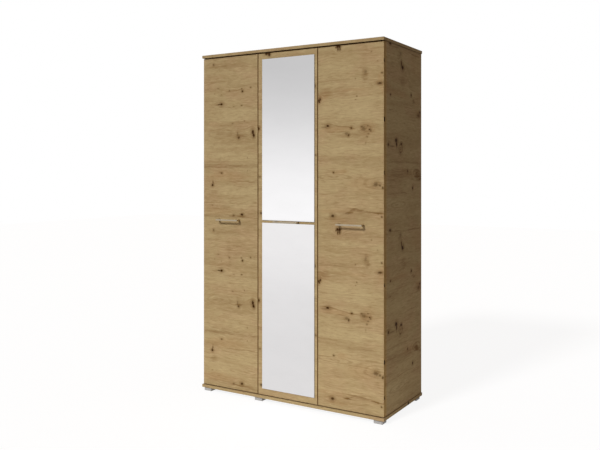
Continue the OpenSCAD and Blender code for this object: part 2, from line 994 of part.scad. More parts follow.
color(nickel) at_hinges(side_x, -1) cup_screw();  // right_cup_screws
color(nickel) at_hinges(left_door_x, 1) hinge_arm(full_overlay);  // left_hinge_arms
color(nickel) at_hinges(middle_door_x, 1) hinge_arm(half_overlay);  // middle_hinge_arms
color(nickel) at_hinges(side_x, -1) hinge_arm(full_overlay);  // right_hinge_arms
hinge_plates();
hinge_plate_screws();
hinge_arm_screws();
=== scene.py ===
import math

import bpy
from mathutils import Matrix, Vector

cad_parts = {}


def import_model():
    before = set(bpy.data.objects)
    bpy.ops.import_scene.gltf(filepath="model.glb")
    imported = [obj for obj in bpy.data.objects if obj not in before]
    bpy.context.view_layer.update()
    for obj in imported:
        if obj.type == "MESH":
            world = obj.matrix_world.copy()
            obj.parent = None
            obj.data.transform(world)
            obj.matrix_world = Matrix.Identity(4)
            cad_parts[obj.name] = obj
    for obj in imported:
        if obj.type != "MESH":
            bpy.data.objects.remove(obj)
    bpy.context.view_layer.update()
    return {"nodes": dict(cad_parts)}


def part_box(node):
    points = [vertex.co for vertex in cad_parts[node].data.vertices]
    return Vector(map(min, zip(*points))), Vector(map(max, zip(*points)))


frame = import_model()
NODES = frame["nodes"]

X, Y, Z = 0, 1, 2
MM = 1000  # millimetres in a metre


# ------------------------------------------------------------------ node helpers

def srgb(r, g, b, tone=1.0):
    """Linear colour, times tone, of an sRGB colour given as 0 to 255."""
    def one(c):
        c /= 255
        return tone * (c / 12.92 if c <= 0.04045 else ((c + 0.055) / 1.055) ** 2.4)
    return (one(r), one(g), one(b), 1.0)


class Tree:
    """The node tree of a material or world, built by small calls that return output sockets."""

    def __init__(self, owner, output="ShaderNodeOutputMaterial"):
        owner.use_nodes = True
        self.owner = owner
        self.output = output
        self.nodes = owner.node_tree.nodes
        self.links = owner.node_tree.links
        self.nodes.clear()

    def add(self, kind, inputs=None, **props):
        node = self.nodes.new(kind)
        for key, value in props.items():
            setattr(node, key, value)
        for key, value in (inputs or {}).items():
            self.set(node.inputs[key], value)
        return node

    def set(self, socket, value):
        if isinstance(value, bpy.types.NodeSocket):
            self.links.new(value, socket)
        else:
            socket.default_value = value

    def math(self, op, a, b=None, c=None, clamp=False):
        node = self.add("ShaderNodeMath", operation=op, use_clamp=clamp)
        for i, v in enumerate((a, b, c)):
            if v is not None:
                self.set(node.inputs[i], v)
        return node.outputs[0]

    def plus(self, a, b):
        return self.math("ADD", a, b)

    def minus(self, a, b):
        return self.math("SUBTRACT", a, b)

    def times(self, a, b, clamp=False):
        return self.math("MULTIPLY", a, b, clamp=clamp)

    def times_plus(self, a, b, c):
        """a times b, plus c."""
        return self.math("MULTIPLY_ADD", a, b, c)

    def larger(self, a, b):
        return self.math("MAXIMUM", a, b)

    def apart(self, a, b):
        """How far a is from b."""
        return self.math("ABSOLUTE", self.minus(a, b))

    def squares(self, a, b):
        """a squared plus b squared."""
        return self.times_plus(a, a, self.times(b, b))

    def sway(self, noise, reach, value):
        """value moved by up to about half of reach each way, as a noise says."""
        return self.times_plus(self.minus(noise, 0.5), reach, value)

    def vec(self, op, a, b=None, scale=None):
        node = self.add("ShaderNodeVectorMath", operation=op)
        self.set(node.inputs[0], a)
        if b is not None:
            self.set(node.inputs[1], b)
        if scale is not None:
            self.set(node.inputs["Scale"], scale)
        return node.outputs["Value" if op == "LENGTH" else "Vector"]

    def stretch(self, vector, x, y, z):
        """vector with each of its numbers times its own factor."""
        return self.vec("MULTIPLY", vector, (x, y, z))

    def noise(self, vector, scale, detail=2.0, rough=0.5, distortion=0.0, colour=False):
        node = self.add("ShaderNodeTexNoise", {
            "Vector": vector, "Scale": scale, "Detail": detail,
            "Roughness": rough, "Distortion": distortion})
        return node.outputs["Color" if colour else "Fac"]

    def ramp(self, value, a, b, lo=0.0, hi=1.0, smooth=True):
        """lo where value is a, hi where it is b, eased between and held beyond them."""
        node = self.add("ShaderNodeMapRange", {
            "Value": value, "From Min": a, "From Max": b, "To Min": lo, "To Max": hi},
            interpolation_type="SMOOTHSTEP" if smooth else "LINEAR")
        return node.outputs["Result"]

    def mix(self, fac, a, b, blend="MIX"):
        """Colour a with the share fac of colour b."""
        node = self.add("ShaderNodeMix", data_type="RGBA", blend_type=blend)
        # The node has sockets for every data type: these are its factor and its colours
        for i, value in ((0, fac), (6, a), (7, b)):
            self.set(node.inputs[i], value)
        return node.outputs[2]

    def place(self):
        """Object coordinates, which are the row frame's metres at rest."""
        return self.add("ShaderNodeTexCoord").outputs["Object"]

    def normal(self):
        """The three numbers of the face's normal."""
        return self.split(self.add("ShaderNodeTexCoord").outputs["Normal"])

    def split(self, vector):
        return self.add("ShaderNodeSeparateXYZ", {"Vector": vector}).outputs

    def join(self, x, y, z):
        node = self.add("ShaderNodeCombineXYZ")
        for i, v in enumerate((x, y, z)):
            self.set(node.inputs[i], v)
        return node.outputs[0]

    def openness(self, reach):
        """1 on an open face, less within reach metres of another one, as in a narrow gap."""
        return self.add("ShaderNodeAmbientOcclusion", {"Distance": reach}, samples=8).outputs["AO"]

    def bump(self, height, strength, distance):
        return self.add("ShaderNodeBump", {
            "Strength": strength, "Distance": distance, "Height": height}).outputs["Normal"]

    def principled(self, **values):
        node = self.add("ShaderNodeBsdfPrincipled")
        for key, value in values.items():
            self.set(node.inputs[key.replace("_", " ")], value)
        return node.outputs["BSDF"]

    def mix_shader(self, fac, a, b):
        """Shader a with the share fac of shader b."""
        node = self.add("ShaderNodeMixShader")
        for i, v in enumerate((fac, a, b)):
            self.set(node.inputs[i], v)
        return node.outputs[0]

    def finish(self, shader):
        self.links.new(shader, self.add(self.output).inputs["Surface"])
        return self.owner


def material(name):
    return Tree(bpy.data.materials.new(name))


# ------------------------------------------------------------------ oak decor

# The decor repeats every REPEAT metres across the grain. Knots, figure and rings are placed in
# millimetres on the board: first along the grain, then across it.
REPEAT = 0.990

# A knot: place, half length, half height, darkness, reach of its brown halo, raggedness.
RIGHT_KNOTS = [
    (322, 1006, 9, 11, 1.0, 1.6, 1.0), (334, 1004, 9, 11, 1.0, 1.5, 1.0),
    (324, 991, 5, 10, 0.85, 1.4, 0.8), (336, 991, 5, 10, 0.80, 1.4, 0.8),
    (313, 1000, 5, 6, 0.7, 1.4, 0.5), (490, 856, 8, 12, 0.28, 2.4, 1.6),
    (583, 843, 6, 5, 0.55, 1.6, 0.6), (573, 791, 15, 7, 0.75, 2.0, 1.2),
    (206, 717, 5, 11, 1.0, 2.0, 0.5), (214, 725, 5, 9, 0.9, 2.0, 0.5),
    (209, 709, 5, 6, 0.9, 1.7, 0.5), (438, 730, 4, 4, 0.45, 1.5, 0.3),
    (431, 713, 4, 3, 0.3, 1.5, 0.3), (262, 577, 10, 7, 1.0, 2.6, 0.7),
    (240, 571, 22, 6, 0.25, 1.5, 1.0), (407, 562, 6, 6, 0.8, 1.9, 0.5),
    (389, 524, 6, 8, 0.76, 1.9, 0.8), (376, 533, 12, 8, 0.35, 1.5, 1.0),
    (478, 556, 14, 12, 0.4, 1.9, 1.6), (513, 551, 4, 4, 0.85, 1.5, 0.4),
    (467, 567, 8, 6, 0.45, 1.7, 0.8), (503, 570, 6, 4, 0.35, 1.6, 0.5),
    (520, 546, 5, 8, 0.40, 1.6, 0.8), (506, 530, 7, 5, 0.35, 1.7, 0.6),
    (562, 107, 4, 4, 0.3, 1.5, 0.4), (499, 513, 5, 5, 0.4, 1.8, 0.5),
    (490, 480, 4, 8, 0.2, 1.6, 0.5), (299, 323, 6, 5, 0.7, 1.8, 0.5),
    (550, 261, 16, 12, 0.46, 1.9, 1.4), (573, 255, 8, 7, 0.52, 1.6, 0.9),
    (588, 244, 6, 8, 0.68, 1.5, 0.6), (292, 88, 11, 9, 0.84, 2.2, 0.6),
    (384, 104, 16, 6, 0.2, 1.7, 1.2), (582, 92, 5, 5, 0.66, 1.6, 0.5),
    (525, 960, 4, 4, 0.3, 1.6, 0.3), (560, 908, 4, 4, 0.22, 1.6, 0.3),
    (430, 824, 4, 4, 0.3, 1.5, 0.4),
]
LEFT_KNOTS = [
    (-462, 730, 11, 8, 1.0, 2.2, 0.8), (-480, 729, 15, 4, 0.8, 1.6, 0.8),
    (-309, 799, 7, 7, 0.85, 1.8, 0.6), (-315, 815, 5, 4, 0.55, 1.6, 0.4),
    (-403, 810, 5, 5, 0.4, 1.7, 0.4), (-250, 820, 5, 5, 0.45, 1.7, 0.4),
    (-485, 827, 6, 3, 0.3, 1.6, 0.4), (-461, 786, 4, 3, 0.25, 1.6, 0.3),
    (-514, 796, 4, 3, 0.25, 1.6, 0.3), (-314, 717, 6, 4, 0.62, 1.6, 0.5),
    (-371, 713, 7, 3, 0.25, 1.6, 0.4), (-294, 626, 4, 4, 0.35, 1.6, 0.3),
    (-380, 613, 7, 4, 0.33, 1.6, 0.4), (-235, 559, 9, 14, 1.0, 2.2, 1.0),
    (-229, 541, 8, 14, 1.0, 1.8, 1.0), (-336, 529, 8, 8, 0.75, 2.0, 0.8),
    (-343, 547, 5, 18, 0.3, 2.0, 1.0), (-459, 322, 7, 5, 0.7, 1.9, 0.5),
    (-529, 249, 8, 8, 0.92, 1.9, 1.0), (-527, 262, 4, 12, 0.6, 1.8, 0.8),
    (-273, 411, 4, 4, 0.3, 1.6, 0.3), (-273, 335, 4, 4, 0.25, 1.6, 0.3),
    (-312, 78, 10, 8, 0.95, 2.0, 0.7), (-372, 71, 7, 6, 0.42, 1.7, 0.8),
    (-521, 970, 6, 7, 0.5, 2.0, 0.6), (-530, 130, 5, 3, 0.3, 1.6, 0.3),
]
MIDDLE_KNOTS = [
    (-138, 1006, 12, 10, 1.0, 1.5, 1.0), (-120, 1002, 10, 13, 1.0, 1.5, 1.0),
    (-193, 577, 7, 10, 0.9, 1.8, 0.8), (-176, 92, 8, 7, 0.8, 1.8, 0.6),
    (183, 800, 6, 8, 0.5, 1.8, 0.8), (-185, 300, 6, 6, 0.5, 1.8, 0.6),
    (186, 420, 7, 6, 0.45, 1.8, 0.6),
]
SIDE_KNOTS = [
    (2, 901, 14, 13, 1.0, 1.9, 1.0), (-13, 920, 7, 17, 0.82, 1.9, 1.0),
    (-25, 974, 15, 11, 0.28, 1.8, 1.4), (-164, 1007, 12, 7, 0.95, 1.9, 0.8),
    (125, 760, 9, 8, 0.86, 1.8, 0.6), (-159, 738, 8, 6, 0.72, 1.7, 0.6),
    (164, 723, 13, 5, 0.3, 1.7, 1.0), (254, 671, 15, 8, 0.6, 1.7, 1.2),
    (234, 651, 22, 12, 0.48, 1.8, 1.4), (-85, 497, 17, 12, 1.0, 1.8, 0.9),
    (-79, 478, 8, 15, 0.95, 1.7, 0.7), (-17, 480, 12, 7, 0.95, 1.9, 0.9),
    (-28, 433, 11, 7, 0.34, 1.7, 1.0), (-45, 458, 5, 14, 0.22, 1.6, 0.8),
    (-4, 458, 5, 14, 0.22, 1.6, 0.8), (-186, 470, 10, 9, 0.85, 2.0, 0.8),
    (-140, 464, 34, 4, 0.36, 1.7, 1.2), (73, 331, 8, 9, 0.62, 1.8, 1.0),
    (146, 236, 9, 9, 0.95, 1.9, 0.6), (-164, 656, 12, 3, 0.3, 1.7, 0.6),
]
PLAIN_KNOTS = [
    (-420, 830, 9, 7, 0.8, 1.9, 0.8), (-130, 640, 8, 8, 0.9, 1.9, 0.8),
    (260, 905, 16, 9, 0.7, 1.9, 1.4), (120, 300, 7, 5, 0.6, 1.8, 0.5),
    (480, 520, 8, 10, 0.8, 1.9, 0.9), (-300, 180, 9, 6, 0.7, 1.8, 0.7),
    (340, 90, 18, 12, 0.5, 1.9, 1.4), (-520, 420, 7, 7, 0.7, 1.8, 0.6),
]

# Figure: place, half length, half height, strength, kind, and slope, which is the rise across
# the grain for each millimetre along it.
BROWN, WARM, LIGHT = 0, 1, 2
RIGHT_FIGURE = [
    (420, 461, 250, 16, 0.6, LIGHT, 0), (420, 428, 250, 14, 0.5, LIGHT, 0),
    (400, 382, 230, 22, 0.23, BROWN, -0.11), (341, 325, 36, 12, 0.45, WARM, 0),
    (470, 262, 75, 40, 0.35, WARM, 0), (324, 227, 50, 20, 0.12, BROWN, 0),
    (505, 115, 110, 5, 0.85, BROWN, -0.08), (384, 110, 36, 6, 0.6, BROWN, 0.35),
    (278, 118, 90, 10, 0.25, WARM, 0), (318, 69, 50, 12, 0.35, WARM, 0),
    (360, 980, 200, 10, 0.22, BROWN, 0), (251, 911, 80, 3, 0.25, BROWN, 0),
    (491, 848, 14, 24, 0.38, BROWN, 0), (500, 828, 12, 16, 0.35, BROWN, 0),
    (590, 800, 16, 60, 0.4, WARM, 0), (228, 748, 40, 22, 0.35, BROWN, 0.3),
    (232, 744, 44, 24, 0.5, WARM, 0.3), (310, 764, 75, 14, 0.22, BROWN, 0.08),
    (410, 768, 95, 10, 0.35, WARM, -0.02), (376, 672, 170, 45, 0.55, LIGHT, 0),
    (500, 640, 120, 30, 0.35, LIGHT, 0), (330, 572, 110, 4, 0.55, BROWN, -0.14),
    (318, 541, 75, 3, 0.5, BROWN, 0), (320, 556, 90, 15, 0.4, WARM, 0),
    (498, 560, 44, 34, 0.38, WARM, 0), (497, 556, 36, 24, 0.3, BROWN, 0),
    (300, 500, 120, 20, 0.3, LIGHT, 0), (400, 300, 230, 60, 0.35, LIGHT, 0),
    (420, 150, 230, 40, 0.2, LIGHT, 0), (280, 816, 130, 14, 0.24, BROWN, 0),
    (450, 645, 150, 12, 0.12, BROWN, 0), (555, 571, 50, 10, 0.20, BROWN, 0),
    (400, 526, 80, 11, 0.24, BROWN, 0), (265, 153, 70, 12, 0.20, BROWN, 0),
    (460, 108, 150, 11, 0.28, BROWN, 0), (345, 72, 180, 17, 0.27, BROWN, 0),
]
LEFT_FIGURE = [
    (-361, 500, 110, 14, 0.18, BROWN, 0), (-400, 360, 260, 9, 0.38, BROWN, 0),
    (-400, 372, 260, 16, 0.2, BROWN, 0), (-400, 420, 200, 24, 0.4, LIGHT, 0),
    (-430, 300, 130, 26, 0.4, WARM, 0), (-315, 271, 115, 3, 0.6, BROWN, 0),
    (-511, 204, 20, 14, 0.25, BROWN, 0), (-361, 221, 130, 26, 0.4, LIGHT, 0),
    (-500, 95, 110, 22, 0.32, WARM, 0), (-330, 138, 170, 32, 0.35, LIGHT, 0),
    (-290, 62, 110, 6, 0.4, BROWN, -0.04), (-419, 958, 110, 20, 0.28, BROWN, 0),
    (-400, 833, 250, 11, 0.18, BROWN, 0), (-407, 862, 18, 14, 0.25, BROWN, 0),
    (-350, 806, 60, 4, 0.25, BROWN, 0), (-400, 675, 170, 44, 0.5, LIGHT, 0),
    (-370, 560, 110, 26, 0.18, BROWN, 0), (-300, 545, 60, 5, 0.40, BROWN, 0.05),
    (-230, 600, 30, 20, 0.2, WARM, 0), (-494, 554, 60, 22, 0.10, BROWN, 0),
    (-380, 765, 200, 14, 0.12, BROWN, 0), (-400, 703, 250, 11, 0.18, BROWN, 0),
    (-440, 66, 190, 12, 0.26, BROWN, 0), (-500, 338, 90, 12, 0.12, BROWN, 0),
    (-260, 527, 60, 11, 0.16, BROWN, 0),
]
SIDE_FIGURE = [
    (200, 322, 32, 26, 0.6, BROWN, 0), (226, 302, 36, 20, 0.6, BROWN, -0.3),
    (110, 322, 110, 16, 0.4, WARM, 0), (252, 288, 18, 9, 0.5, BROWN, 0),
    (12, 210, 200, 2, 0.45, BROWN, 0), (-58, 315, 190, 26, 0.35, BROWN, 0),
    (-8, 380, 250, 5, 0.25, BROWN, 0), (-120, 130, 150, 50, 0.5, LIGHT, 0),
    (-98, 999, 60, 5, 0.5, BROWN, 0), (-42, 935, 22, 34, 0.34, BROWN, 0),
    (152, 995, 110, 4, 0.5, BROWN, 0), (5, 815, 26, 30, 0.4, BROWN, 0),
    (83, 835, 10, 8, 0.3, BROWN, 0), (158, 733, 14, 6, 0.45, BROWN, 0),
    (202, 745, 50, 3, 0.3, BROWN, 0.25), (-200, 780, 40, 34, 0.5, WARM, 0),
    (-60, 752, 110, 16, 0.4, WARM, 0), (215, 740, 50, 40, 0.4, WARM, 0),
    (200, 940, 60, 60, 0.3, WARM, 0), (-80, 165, 210, 20, 0.5, LIGHT, 0),
    (234, 660, 30, 22, 0.7, WARM, 0), (-18, 600, 230, 50, 0.35, LIGHT, 0),
    (-25, 450, 26, 26, 0.3, BROWN, 0), (-190, 488, 60, 14, 0.22, BROWN, 0),
    (200, 66, 70, 28, 0.12, BROWN, 0),
]
PLAIN_FIGURE = [
    (-300, 420, 260, 12, 0.4, BROWN, 0.02), (200, 180, 300, 26, 0.4, LIGHT, 0),
    (-100, 700, 240, 20, 0.4, WARM, -0.03), (320, 560, 180, 8, 0.45, BROWN, 0.04),
    (-420, 90, 160, 16, 0.35, WARM, 0), (60, 900, 260, 30, 0.4, LIGHT, 0),
]

# Oval growth rings: place, half length and half height of the first ring, strength.
RIGHT_RINGS = [
    (492, 556, 20, 13, 0.18), (560, 268, 48, 19, 0.3), (300, 300, 60, 9, 0.35),
]
LEFT_RINGS = [
    (-476, 556, 58, 19, 0.18), (-300, 150, 60, 9, 0.18), (-420, 880, 50, 9, 0.15),
]
SIDE_RINGS = [
    (205, 318, 34, 16, 0.4), (-24, 455, 17, 14, 0.45), (-60, 150, 60, 11, 0.3),
]
PLAIN_RINGS = [
    (-380, 300, 60, 11, 0.5), (180, 620, 50, 9, 0.45),
]

# A board's design: its knots, its figure and its growth rings
LEFT_DESIGN = (LEFT_KNOTS, LEFT_FIGURE, LEFT_RINGS)
MIDDLE_DESIGN = (MIDDLE_KNOTS, PLAIN_FIGURE, PLAIN_RINGS)
RIGHT_DESIGN = (RIGHT_KNOTS, RIGHT_FIGURE, RIGHT_RINGS)
SIDE_DESIGN = (SIDE_KNOTS, SIDE_FIGURE, SIDE_RINGS)
PLAIN_DESIGN = (PLAIN_KNOTS, PLAIN_FIGURE, PLAIN_RINGS)

# Noise layers: stretch along and across the grain, seed, scale, detail, roughness, distortion.
LAYERS = {
    # Small and large displacements of what the lists place, and its ragged edges
    "drift": (1, 1, 0, 30, 2, 0.5, 0),
    "swell": (3, 12, 5, 1.6, 3, 0.6, 0),
    "fine": (1, 1, 0, 230, 3, 0.65, 0),
    # Waves of the grain
    "wave": (1, 1, 0, 3.4, 2, 0.5, 0),
    "ripple": (1, 2, 2, 9, 2, 0.5, 0),
    # Tones of the wood, from broad bands down to pores
    "bands": (1.5, 15, 0, 1.7, 3, 0.6, 0),
    "cloud": (1, 2, 11, 5.5, 3, 0.55, 0),
    "contour": (5, 120, 3, 1, 3, 0.62, 0.3),
    "mottle": (24, 125, 13, 1, 3, 0.6, 0),
    "dash": (26, 330, 9, 1, 2, 0.6, 0),
    "pores": (60, 1100, 7, 1, 1, 0.5, 0),
}

# How far, in metres, drift moves knots and rings and swell moves figure, each along the grain
# and across it, and how far wave and ripple move the grain itself, only across it
KNOT_DRIFT = (0.010, 0.007)
FIGURE_SWELL = (0.110, 0.044)
GRAIN_WAVE = 0.040
GRAIN_RIPPLE = 0.012

# A ragged knot's edge moves by this many of its half sizes, times its raggedness
KNOT_FRAY = 1.7
# Distances from a knot's middle, in half sizes, between which its core fades, and where its
# halo starts to
CORE_FADE = (0.45, 1.15)
HALO_START = 0.6
# Knots at least this dark bend the grain, which parts by this many of their half heights
BENDING_DARKNESS = 0.7
GRAIN_BEND = 0.62
# The bend ends where BEND_LONG times the squared distance along the grain and BEND_HIGH times
# the one across it, both in half sizes, add up to BEND_END
BEND_LONG, BEND_HIGH, BEND_END = 0.06, 0.16, 2.0
# Squared distance, in half sizes, at which a patch of figure has faded
FIGURE_FADE = 2.4
# Phase, in radians, that the ring lines gain over the first ring's size, and how far noise
# moves it; and the distances, in first rings, between which the lines fade
RING_PHASE = 5.2
RING_WOBBLE = 9.0
RING_FADE = (0.9, 4.2)

# sRGB colours of the decor
BOARD = (168, 146, 106)
BOARD_PALE = (179, 159, 118)
BOARD_ROSY = (176, 148, 112)
PATCH_LIGHT = (186, 167, 125)
PATCH_WARM = (168, 136, 96)
STREAK_BROWN = (121, 91, 54)
CONTOUR_BROWN = (139, 114, 75)
MOTTLE_BROWN = (133, 107, 68)
MOTTLE_PALE = (206, 184, 142)
DASH_BROWN = (136, 109, 70)
PORE_BROWN = (112, 86, 52)
HALO_BROWN = (104, 71, 29)
CORE_BROWN = (58, 33, 9)
EDGE_KNOT_BROWN = (50, 30, 10)
# Painted shade beside the doors' joints and below their tops
SEAM_SHADE_BROWN = (98, 62, 16)
# Painted shade in narrow gaps and under overhangs
GAP_SHADE_BROWN = (74, 42, 10)
CHIP_DARK, CHIP, CHIP_PALE = (116, 87, 55), (170, 140, 98), (200, 175, 134)
# Painted warm bounce light: what the doors' edge band, and a side's face by its front edge,
# multiply the board's colour by
PAINTED_BOUNCE_TINT = (1.10, 0.98, 0.74, 1)

# Fine coats: layer, its values where the coat starts and is full, full amount, colour
COATS = [
    ("mottle", 0.50, 0.76, 0.42, MOTTLE_BROWN), ("mottle", 0.48, 0.24, 0.36, MOTTLE_PALE),
    ("dash", 0.54, 0.74, 0.36, DASH_BROWN), ("pores", 0.64, 0.80, 0.36, PORE_BROWN),
]


def from_along(t, u, place, half):
    """Distance of u from a place along the grain, in half lengths."""
    return t.times_plus(u, MM / half, -place / half)


def from_across(t, v, place, half):
    """Distance of v from the nearest repeat of a place across the grain, in half heights."""
    middle = place / MM
    near = t.math("WRAP", v, middle + REPEAT / 2, middle - REPEAT / 2)
    return t.times_plus(near, MM / half, -place / half)


def knot_field(t, u, v, fine_u, fine_v, knots):
    """(dark core, brown halo, bend of the grain) of a list of knots. Plain float maths, in the
    order in which it is used, keeps the shader's stack small."""
    core, halo, bend = 0.0, 0.0, 0.0
    for place_u, place_v, half_u, half_v, dark, reach, ragged in knots:
        du = t.times_plus(fine_u, KNOT_FRAY * ragged, from_along(t, u, place_u, half_u))
        dv = from_across(t, v, place_v, half_v)
        if dark >= BENDING_DARKNESS:
            # The grain parts above and below the knot
            wide = t.times_plus(dv, t.times(dv, BEND_HIGH), t.times(du, t.times(du, BEND_LONG)))
            push = t.times(t.ramp(wide, 0, BEND_END, -GRAIN_BEND * half_v / MM, 0), dv)
            bend = t.plus(push, bend)
        dv = t.times_plus(fine_v, KNOT_FRAY * ragged, dv)
        r = t.math("SQRT", t.squares(du, dv))
        core = t.larger(t.ramp(r, *CORE_FADE, dark, 0), core)
        faint = 0.5 * min(1, dark + 0.12)
        halo = t.larger(t.ramp(r, HALO_START, 1.2 * reach + HALO_START, faint, 0), halo)
    return core, halo, bend


def figure_field(t, u, v, figure):
    """[brown, warm, light] amounts of a list of soft streaks and patches."""
    amounts = [0.0, 0.0, 0.0]
    for place_u, place_v, half_u, half_v, strength, kind, slope in figure:
        du = from_along(t, u, place_u, half_u)
        dv = from_across(t, v, place_v, half_v)
        if slope:
            dv = t.times_plus(du, -slope * half_u / half_v, dv)
        amount = t.ramp(t.squares(du, dv), 0, FIGURE_FADE, strength, 0)
        amounts[kind] = t.plus(amount, amounts[kind])
    return amounts


def ring_field(t, u, v, wobble, rings):
    """Darkness of the ring lines: closed ovals near the middle, fading outwards."""
    total = 0.0
    for place_u, place_v, half_u, half_v, strength in rings:
        du = from_along(t, u, place_u, half_u)
        dv = from_across(t, v, place_v, half_v)
        r = t.math("SQRT", t.squares(du, dv))
        phase = t.times_plus(wobble, RING_WOBBLE, t.times(r, RING_PHASE))
        line = t.ramp(t.math("SINE", phase), 0.1, 1.0)
        total = t.times_plus(t.ramp(r, *RING_FADE, strength, 0), line, total)
    return total


def layer(t, name, u, v, offset, colour=False):
    """The noise LAYERS[name] at u along the grain and v across it."""
    along, across, seed, scale, detail, rough, distortion = LAYERS[name]
    u = u if along == 1 else t.times(u, along)
    v = v if across == 1 else t.times(v, across)
    return t.noise(t.join(u, v, offset + seed), scale, detail, rough, distortion, colour)


def place_design(t, u, v, offset, design):
    """(core, halo, bend, ring, [brown, warm, light]) of a board's design."""
    knots, figure, rings = design
    drift = t.split(layer(t, "drift", u, v, offset, colour=True))
    swell = t.split(layer(t, "swell", u, v, offset, colour=True))
    fine = t.split(layer(t, "fine", u, v, offset, colour=True))
    fine_u = t.minus(fine[0], 0.5)
    fine_v = t.minus(fine[1], 0.5)
    knot_u = t.sway(drift[0], KNOT_DRIFT[0], u)
    knot_v = t.sway(drift[1], KNOT_DRIFT[1], v)
    core, halo, bend = knot_field(t, knot_u, knot_v, fine_u, fine_v, knots)
    ring = ring_field(t, knot_u, knot_v, t.minus(swell[2], 0.5), rings)
    figure_u = t.sway(swell[0], FIGURE_SWELL[0], u)
    figure_v = t.sway(swell[1], FIGURE_SWELL[1], v)
    return core, halo, bend, ring, figure_field(t, figure_u, figure_v, figure)


def oak(name, along, across, design, offset, tone=1.0, chip=None, edge_knots=(), seams=(),
        front=None, reach=0.010):
    """Knotty oak decor of one design, with the grain along one axis and its repeat across it.

    Faces that the grain would run into carry edge band, whose grain runs along the edge.
    offset sets the procedural grain apart from other boards'. tone multiplies the colours.
    chip marks raw chipboard edges, by axis and sign of the face's normal.
    edge_knots are dark spots on the edge band: place along it and half size, in metres.
    seams are the joints beside a door: painted shade darkens its face beside them and below its
    top, and painted bounce light makes its edge band yellower.
    front is the front edge of a side, beside which painted bounce light makes the face as yellow
    as a door's band.
    reach is how wide a gap may be, in metres, and still get painted shade."""
    t = material(name)
    normal = t.normal()
    band = t.math("GREATER_THAN", t.math("ABSOLUTE", normal[along]), 0.7)
    face = t.minus(1.0, band)
    axes = t.split(t.place())
    u, v, third = axes[along], axes[across], axes[X + Y + Z - along - across]
    deep = t.plus(v, third)
    run = t.times_plus(band, t.minus(v, u), u)
    lie = t.times_plus(band, t.minus(third, deep), deep)

    core, halo, bend, ring, amounts = place_design(t, u, v, offset, design)
    brown, warm, light = amounts

    flow = t.plus(t.times(bend, face), lie)
    wave = t.minus(layer(t, "wave", run, lie, offset), 0.5)
    ripple = t.minus(layer(t, "ripple", run, lie, offset), 0.5)
    flow = t.times_plus(ripple, GRAIN_RIPPLE, t.times_plus(wave, GRAIN_WAVE, flow))
    bands = layer(t, "bands", run, flow, offset)
    cloud = layer(t, "cloud", run, lie, offset)
    contour = layer(t, "contour", run, flow, offset)
    grain = {key: layer(t, key, run, flow, offset) for key in ("mottle", "dash", "pores")}
    veined = t.ramp(cloud, 0.38, 0.66, 0.25, 1.0)

    def coat(colour, amount, paint):
        return t.mix(amount, colour, srgb(*paint, tone))

    colour = t.mix(t.ramp(bands, 0.34, 0.68), srgb(*BOARD, tone), srgb(*BOARD_PALE, tone))
    colour = coat(colour, t.ramp(cloud, 0.42, 0.72, 0, 0.60), BOARD_ROSY)
    colour = coat(colour, t.times(light, face, clamp=True), PATCH_LIGHT)
    colour = coat(colour, t.times(warm, face, clamp=True), PATCH_WARM)
    streaks = t.times_plus(brown, t.ramp(contour, 0.36, 0.66, 0.45, 1.25), ring)
    colour = coat(colour, t.times(streaks, face, clamp=True), STREAK_BROWN)
    colour = coat(colour, t.times(t.ramp(contour, 0.50, 0.74, 0, 0.60), veined), CONTOUR_BROWN)
    for key, start, full, amount, paint in COATS:
        colour = coat(colour, t.ramp(grain[key], start, full, 0, amount), paint)
    colour = coat(colour, t.times(halo, face), HALO_BROWN)
    colour = coat(colour, t.times(core, face), CORE_BROWN)

    rough = t.times_plus(grain["dash"], 0.14, 0.55)
    height = t.times_plus(contour, 0.5, t.times(grain["dash"], 0.6))
    height = t.minus(height, t.times(core, 0.8))

    # Edge band, and what lies beside a board's edges, with painted bounce light and painted shade
    # Painted warm bounce light on the doors' edge band
    if seams:
        colour = t.mix(band, colour, PAINTED_BOUNCE_TINT, blend="MULTIPLY")
    # Painted warm bounce light on a side's face within about 20 mm of its front edge
    if front is not None:
        beside = t.ramp(t.minus(u, front), 0.008, 0.022, 1, 0)
        colour = t.mix(beside, colour, PAINTED_BOUNCE_TINT, blend="MULTIPLY")
    for place, size in edge_knots:
        off = t.math("ABSOLUTE", t.times_plus(v, 1 / size, -place / size))
        spot = t.ramp(off, 0.6, 1.2, 0.9, 0)
        colour = coat(colour, t.times(spot, band), EDGE_KNOT_BROWN)
    # Painted shade on a door's face beside the gaps at its joints
    for seam in seams:
        line = t.ramp(t.apart(u, seam), 0.0020, 0.0048, 0.8, 0)
        colour = coat(colour, t.times(line, face), SEAM_SHADE_BROWN)
    # Painted shade on a door's face below its top, under the top's overhang
    if seams:
        line = t.ramp(t.minus(DOOR_TOP, v), 0.0005, 0.0046, 0.85, 0)
        colour = coat(colour, t.times(line, face), SEAM_SHADE_BROWN)
    # Painted shade, brown, wherever another face is within reach, as in narrow gaps and under
    # overhangs
    colour = coat(colour, t.ramp(t.openness(reach), 0.12, 0.90, 0.88, 0), GAP_SHADE_BROWN)
    if chip is not None:
        axis, sign = chip
        raw = t.ramp(t.times(normal[axis], sign), 0.7, 0.8)
        colour = t.mix(raw, colour, chipboard(t))
        rough = t.larger(rough, t.times(raw, 0.85))
    return t.finish(t.principled(Base_Color=colour, Roughness=rough, Specular_IOR_Level=0.04,
                                 Normal=t.bump(height, 0.22, 0.0005)))


